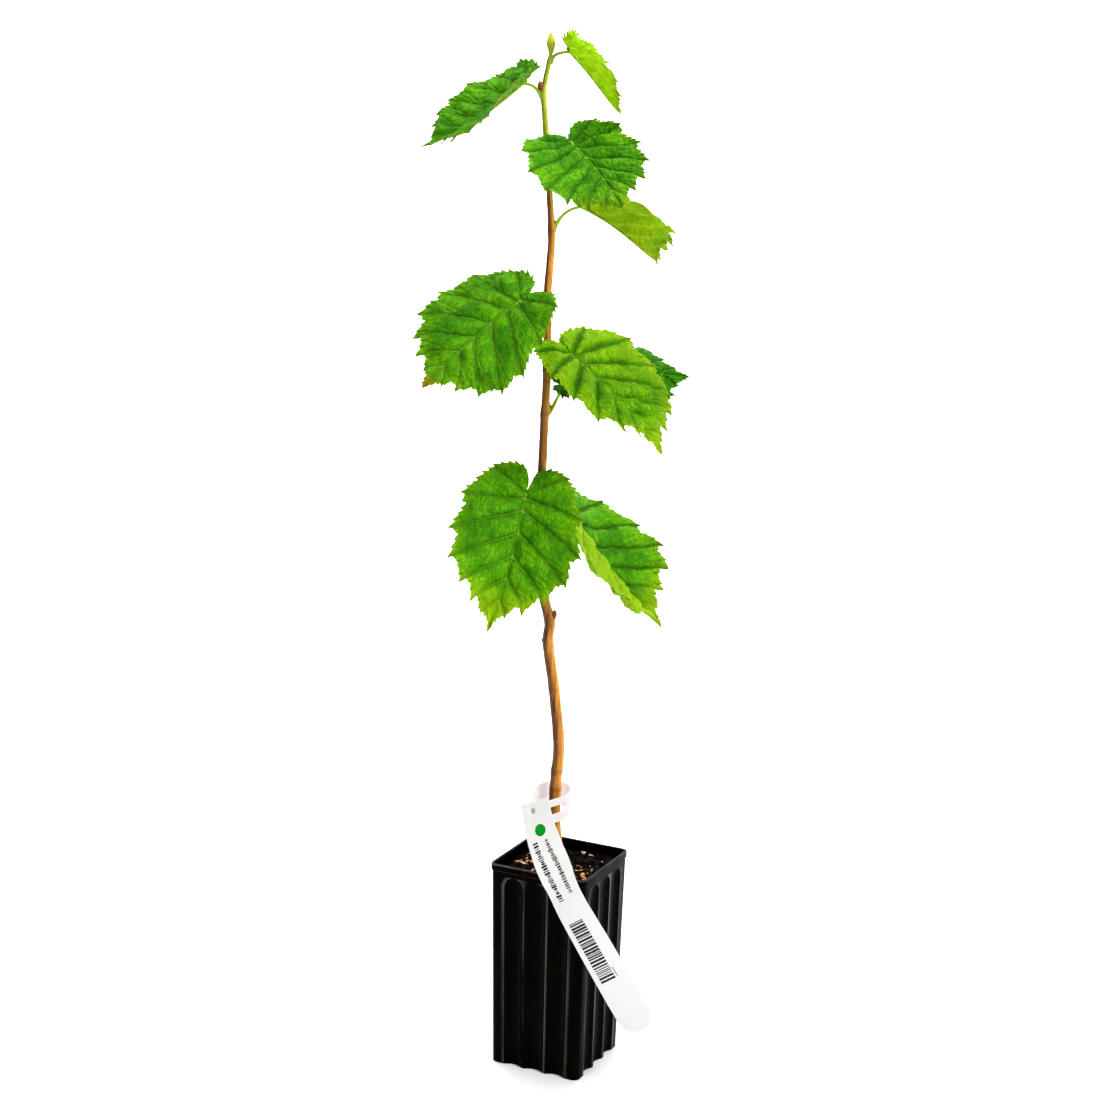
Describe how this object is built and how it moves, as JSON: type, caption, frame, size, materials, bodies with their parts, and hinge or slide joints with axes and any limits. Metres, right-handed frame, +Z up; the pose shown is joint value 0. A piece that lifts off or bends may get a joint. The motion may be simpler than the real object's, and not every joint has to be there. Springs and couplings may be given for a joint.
{
  "type": "potted hazel sapling",
  "caption": "Young broad-leaved tree in a square fluted nursery pot: leaning stem, heart-shaped toothed leaves on stalks, compost, and a loop tag.",
  "frame": {"origin": "middle of the pot's flat underside, on the surface that it stands on", "axes": "+Z up along the stem; the pot's sides run along X and Y; the plant's best side looks towards azimuth 26 degrees from -Y"},
  "size_m": [0.1788, 0.159, 0.717],
  "materials": {
    "pot": "satin black",
    "soil": "loose bark compost",
    "bark": "smooth young bark",
    "leaf": "soft matt leaf",
    "tag": "satin white"
  },
  "bodies": {
    "root": {"pot": "pot", "soil": "soil", "trunk": "bark", "leaf_1": "leaf", "leaf_2": "leaf", "leaf_3": "leaf", "leaf_4": "leaf", "leaf_5": "leaf", "leaf_6": "leaf", "leaf_7": "leaf", "leaf_8": "leaf", "leaf_9": "leaf", "tag": "tag", "tag_loop": "tag"}
  },
  "joints": []
}
